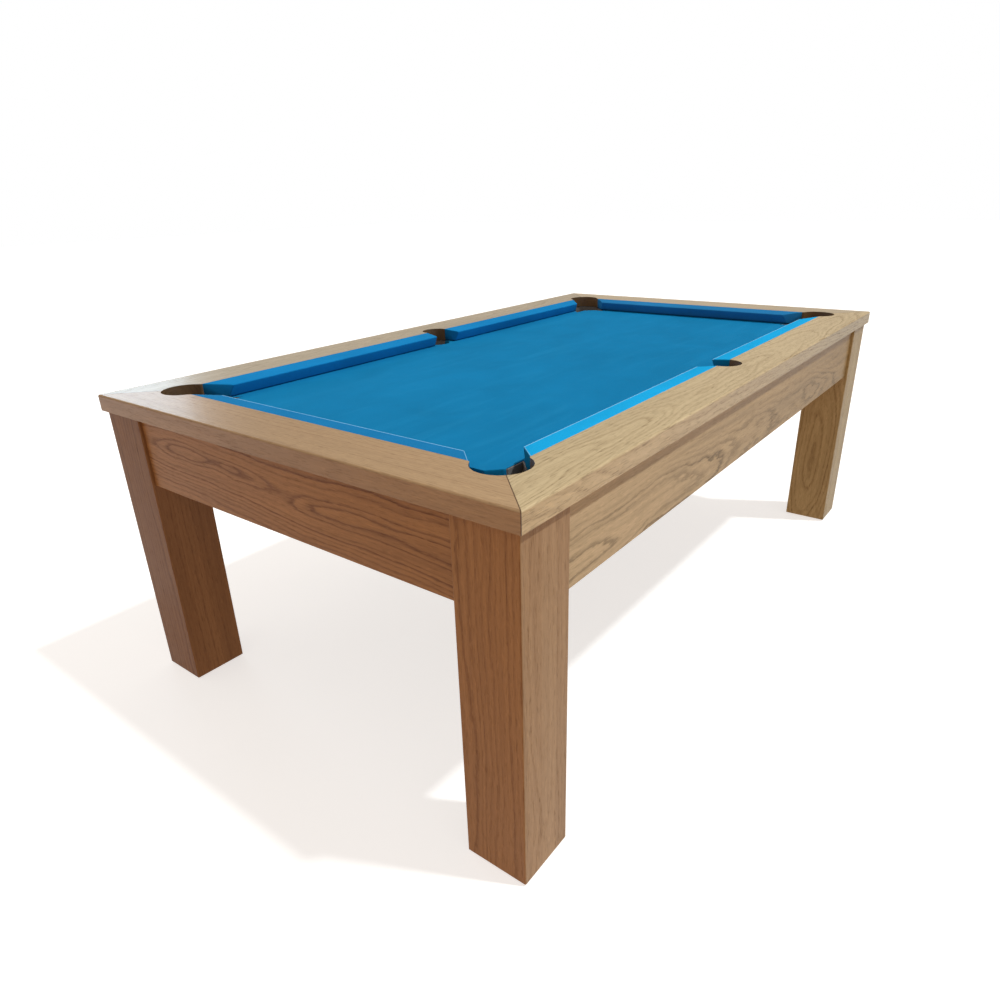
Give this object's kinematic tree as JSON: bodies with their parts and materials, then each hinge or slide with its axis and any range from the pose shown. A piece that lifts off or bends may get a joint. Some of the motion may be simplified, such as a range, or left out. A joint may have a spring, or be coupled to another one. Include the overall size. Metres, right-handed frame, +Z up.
{
  "type": "pool table",
  "caption": "Pool table with a cloth-covered bed, cushioned wooden rails, drop pockets with bags, and square legs on adjustable feet.",
  "frame": {"origin": "on the floor under the table's centre", "axes": "+X along the table's length, +Y across it, +Z up"},
  "size_m": [2.19, 1.275, 0.79],
  "materials": {
    "oak_rail": "satin lacquered oak, grain along the rail",
    "oak_apron": "satin lacquered oak, cathedral grain along the board",
    "oak_leg": "satin lacquered oak, upright grain",
    "plywood": "bare plywood",
    "pine": "planed softwood",
    "slate": "honed slate",
    "bed_cloth": "napped wool cloth, blue",
    "cushion_cloth": "napped wool cloth, blue",
    "cushion_rubber": "gum rubber",
    "liner_plastic": "moulded dark grey plastic, matt",
    "bag_leather": "black grained leather",
    "zinc_steel": "bright zinc plated steel"
  },
  "bodies": {
    "root": {"apron_back": "oak_apron", "apron_front": "oak_apron", "apron_left": "oak_apron", "apron_right": "oak_apron", "bed_cloth": "bed_cloth", "cross_beam_1": "pine", "cross_beam_2": "pine", "cross_beam_3": "pine", "cross_beam_4": "pine", "cushion_cloth_back_left": "cushion_cloth", "cushion_cloth_back_right": "cushion_cloth", "cushion_cloth_front_left": "cushion_cloth", "cushion_cloth_front_right": "cushion_cloth", "cushion_cloth_left": "cushion_cloth", "cushion_cloth_right": "cushion_cloth", "cushion_liners": "pine", "cushion_rubber_back_left": "cushion_rubber", "cushion_rubber_back_right": "cushion_rubber", "cushion_rubber_front_left": "cushion_rubber", "cushion_rubber_front_right": "cushion_rubber", "cushion_rubber_left": "cushion_rubber", "cushion_rubber_right": "cushion_rubber", "feather_strips": "pine", "frame_corner_blocks": "pine", "frame_end_left": "plywood", "frame_end_right": "plywood", "frame_side_back": "plywood", "frame_side_front": "plywood", "leg_back_left": "oak_leg", "leg_back_right": "oak_leg", "leg_bolts": "zinc_steel", "leg_foot_blocks": "pine", "leg_front_left": "oak_leg", "leg_front_right": "oak_leg", "leg_top_blocks": "pine", "leveller_inserts": "zinc_steel", "pocket_bag_back": "bag_leather", "pocket_bag_back_left": "bag_leather", "pocket_bag_back_right": "bag_leather", "pocket_bag_front": "bag_leather", "pocket_bag_front_left": "bag_leather", "pocket_bag_front_right": "bag_leather", "pocket_liner_back": "liner_plastic", "pocket_liner_back_left": "liner_plastic", "pocket_liner_back_right": "liner_plastic", "pocket_liner_front": "liner_plastic", "pocket_liner_front_left": "liner_plastic", "pocket_liner_front_right": "liner_plastic", "rail_back": "oak_rail", "rail_bolt_washers": "zinc_steel", "rail_bolts": "zinc_steel", "rail_front": "oak_rail", "rail_left": "oak_rail", "rail_right": "oak_rail", "slate_bed": "slate", "slate_screws": "zinc_steel"},
    "foot_front_left": {"leveller_front_left": "zinc_steel"},
    "foot_front_right": {"leveller_front_right": "zinc_steel"},
    "foot_back_left": {"leveller_back_left": "zinc_steel"},
    "foot_back_right": {"leveller_back_right": "zinc_steel"}
  },
  "joints": [
    {"name": "foot_front_left_height", "type": "slide", "parent": "root", "child": "foot_front_left", "axis": [0, 0, -1], "range_m": [0, 0.02]},
    {"name": "foot_front_right_height", "type": "slide", "parent": "root", "child": "foot_front_right", "axis": [0, 0, -1], "range_m": [0, 0.02]},
    {"name": "foot_back_left_height", "type": "slide", "parent": "root", "child": "foot_back_left", "axis": [0, 0, -1], "range_m": [0, 0.02]},
    {"name": "foot_back_right_height", "type": "slide", "parent": "root", "child": "foot_back_right", "axis": [0, 0, -1], "range_m": [0, 0.02]}
  ]
}
